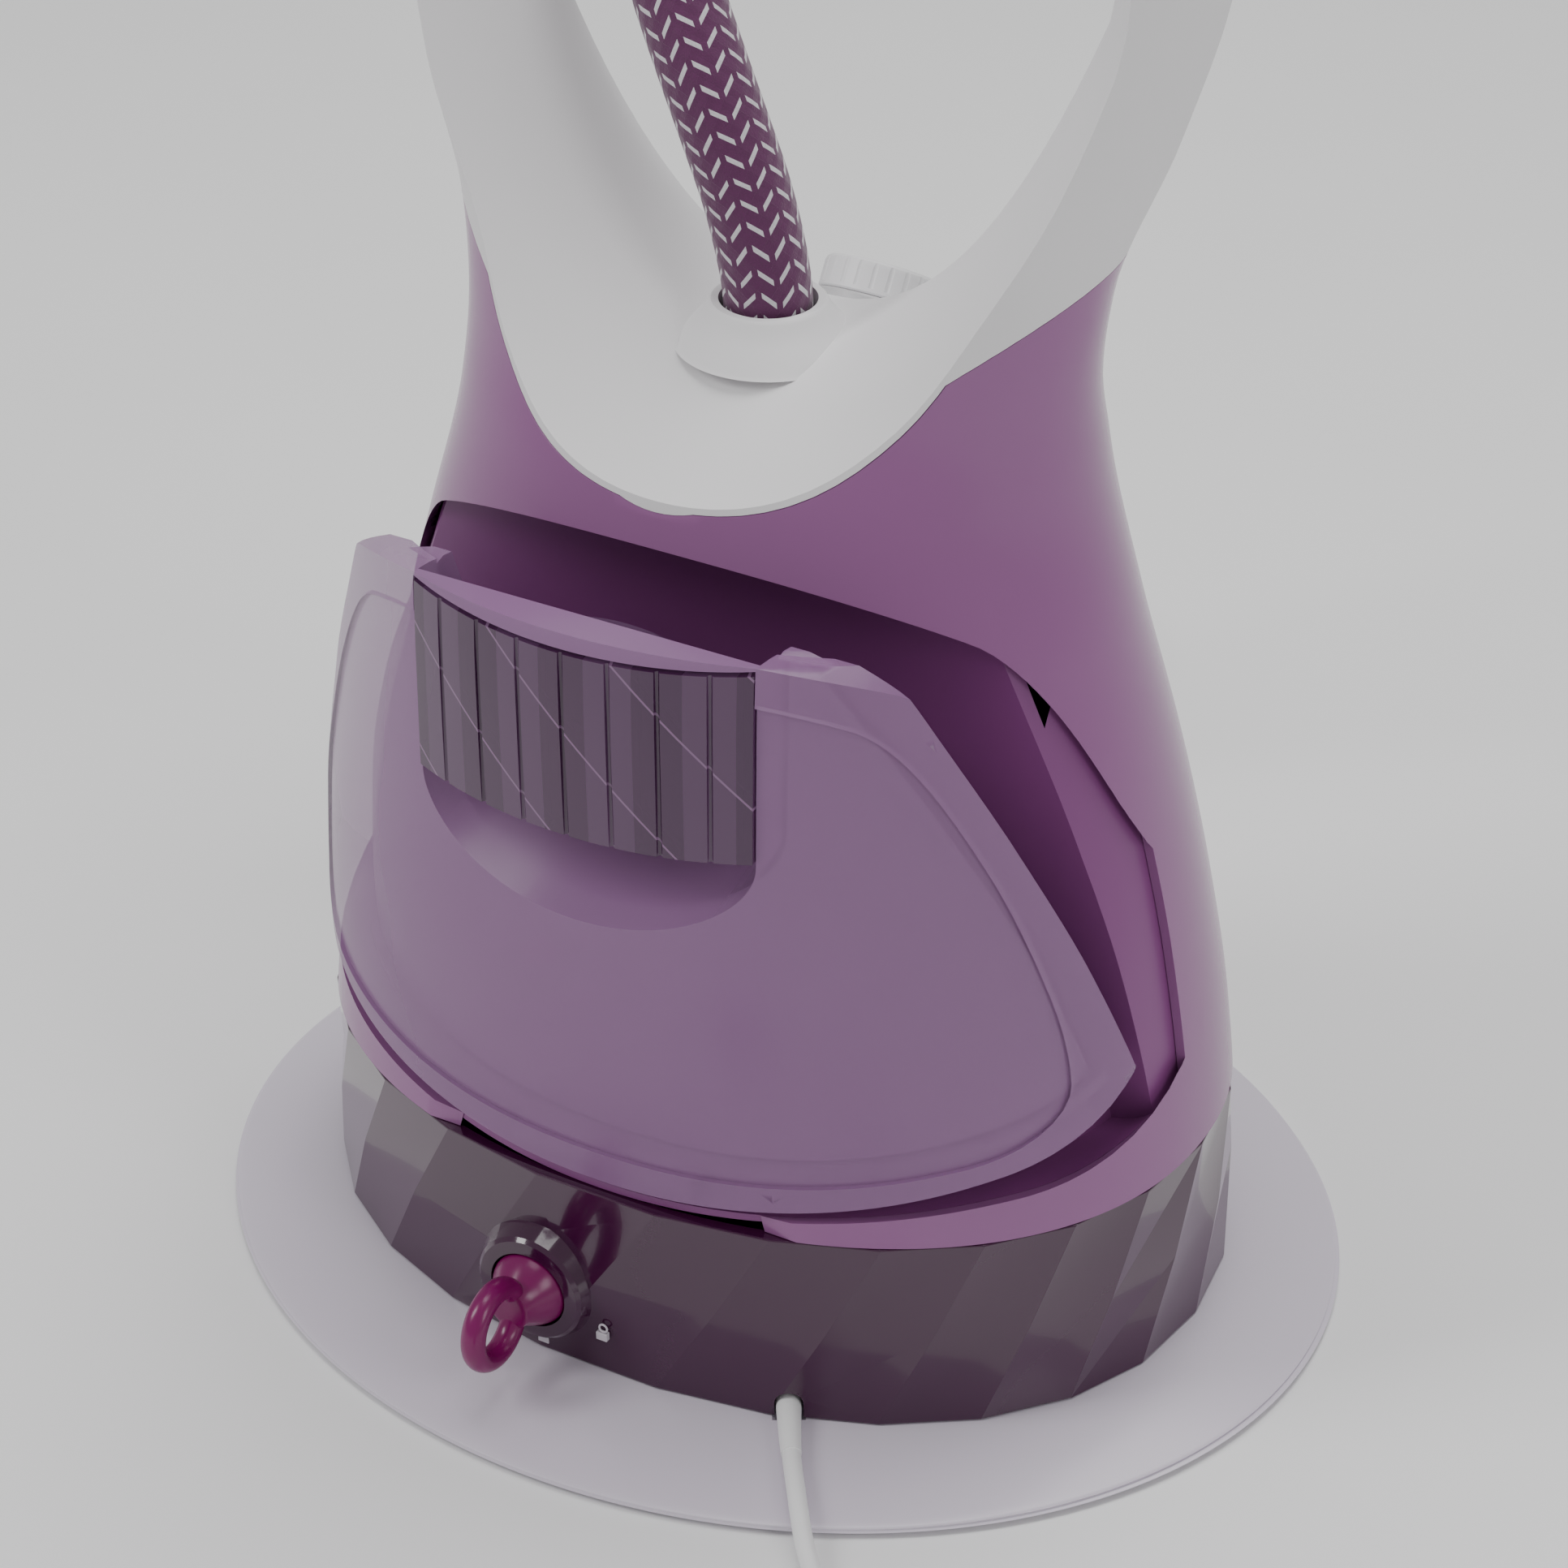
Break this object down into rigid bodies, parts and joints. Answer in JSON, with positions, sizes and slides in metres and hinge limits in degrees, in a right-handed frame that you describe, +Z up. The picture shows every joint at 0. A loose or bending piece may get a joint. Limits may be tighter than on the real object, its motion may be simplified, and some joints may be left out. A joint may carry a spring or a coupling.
{
  "type": "garment steamer base",
  "caption": "Floor-standing garment steamer base with a tilting clear water tank, forked pole sockets, steam dial, descaling drain, braided steam hose and mains lead.",
  "frame": {"origin": "centre of the foot disc, on the surface that it stands on", "axes": "+Z up, -Y the front with the tank, +X to the right seen from the front"},
  "size_m": [0.4791, 0.7429, 0.505],
  "materials": {
    "purple": "gloss",
    "bay": "satin",
    "tank": "clear gloss",
    "lavender": "satin gloss",
    "silver": "metallic satin",
    "dial": "satin",
    "clear": "clear gloss",
    "knob": "high gloss",
    "dark": "matt",
    "rubber": "matt",
    "white": "satin",
    "hose": "woven braid",
    "steel": "brushed",
    "aluminium": "cast",
    "brass": "turned",
    "board": "coated",
    "silicone": "soft matt"
  },
  "bodies": {
    "base": {"foot_disc": "lavender", "base_tray": "dark", "base_screw_1": "steel", "base_screw_2": "steel", "base_screw_3": "steel", "base_screw_4": "steel", "rubber_foot_1": "rubber", "rubber_foot_2": "rubber", "rubber_foot_3": "rubber", "rubber_foot_4": "rubber", "rubber_foot_5": "rubber", "rubber_foot_6": "rubber", "facet_skirt": "purple", "housing": "purple", "bay_liner": "bay", "valve_seat": "white", "valve_pin": "brass", "yoke": "silver", "pole_socket_l": "dark", "pole_socket_r": "dark", "dial_ring": "clear", "dial_switch": "dark", "drain_port": "dark", "boiler": "aluminium", "heating_element": "steel", "thermostat": "white", "thermal_fuse": "steel", "water_pump": "white", "feed_tube": "silicone", "boiler_feed_tube": "silicone", "steam_tube": "silicone", "drain_tube": "silicone", "hose_gland": "dark", "control_board": "board", "terminal_block": "white", "cord_relief": "dial", "power_cord": "white", "inner_lead": "white", "cord_coil": "white", "cord_tail": "white", "plug_body": "dark", "plug_pin_1": "steel", "plug_pin_2": "steel", "steam_hose": "hose", "hose_connector": "dark"},
    "cradle": {"tank_cradle": "bay"},
    "tank": {"tank_shell": "tank", "tank_handle": "tank"},
    "valve_cap_body": {"valve_cap": "dark"},
    "plunger": {"valve_plunger": "knob"},
    "catch_l": {"tank_catch_l": "bay"},
    "catch_r": {"tank_catch_r": "bay"},
    "dial": {"steam_dial": "dial"},
    "drain": {"drain_plug": "white", "drain_seal": "rubber"},
    "knob": {"decalc_knob": "knob"},
    "lock_l": {"pole_lock_l": "dial"},
    "lock_r": {"pole_lock_r": "dial"}
  },
  "joints": [
    {"name": "tank_tilt", "type": "hinge", "parent": "base", "child": "cradle", "pos_m": [0, -0.113, 0.086], "axis": [1, 0, 0], "range_deg": [-14, 0]},
    {"name": "tank_lift", "type": "slide", "parent": "cradle", "child": "tank", "axis": [0, -0.7001, 0.7141], "range_m": [0, 0.16]},
    {"name": "valve_cap_turn", "type": "hinge", "parent": "tank", "child": "valve_cap_body", "pos_m": [-0.05, -0.06303, 0.10464], "axis": [0, -0.2419, 0.9703], "range_deg": [0, 90]},
    {"name": "valve_open", "type": "slide", "parent": "valve_cap_body", "child": "plunger", "axis": [0, -0.2419, 0.9703], "range_m": [0, 0.0025], "stiffness_N_per_m": 300},
    {"name": "catch_press_l", "type": "slide", "parent": "base", "child": "catch_l", "axis": [0, 0, 1], "range_m": [0, 0.002], "stiffness_N_per_m": 400, "springref_m": -0.001},
    {"name": "catch_press_r", "type": "slide", "parent": "base", "child": "catch_r", "axis": [0, 0, 1], "range_m": [0, 0.002], "stiffness_N_per_m": 400, "springref_m": -0.001},
    {"name": "steam_dial_turn", "type": "hinge", "parent": "base", "child": "dial", "pos_m": [0, 0.06, 0.303], "axis": [0, 0.5592, 0.829], "range_deg": [0, 150]},
    {"name": "drain_pull", "type": "slide", "parent": "base", "child": "drain", "axis": [0, -1, 0], "range_m": [0, 0.03]},
    {"name": "decalc_turn", "type": "hinge", "parent": "drain", "child": "knob", "pos_m": [-0.022, -0.122, 0.036], "axis": [0, -1, 0], "range_deg": [0, 90]},
    {"name": "pole_lock_press_l", "type": "slide", "parent": "base", "child": "lock_l", "axis": [1, 0, 0], "range_m": [0, 0.0013], "stiffness_N_per_m": 500, "springref_m": -0.0005},
    {"name": "pole_lock_press_r", "type": "slide", "parent": "base", "child": "lock_r", "axis": [-1, 0, 0], "range_m": [0, 0.0013], "stiffness_N_per_m": 500, "springref_m": -0.0005}
  ]
}
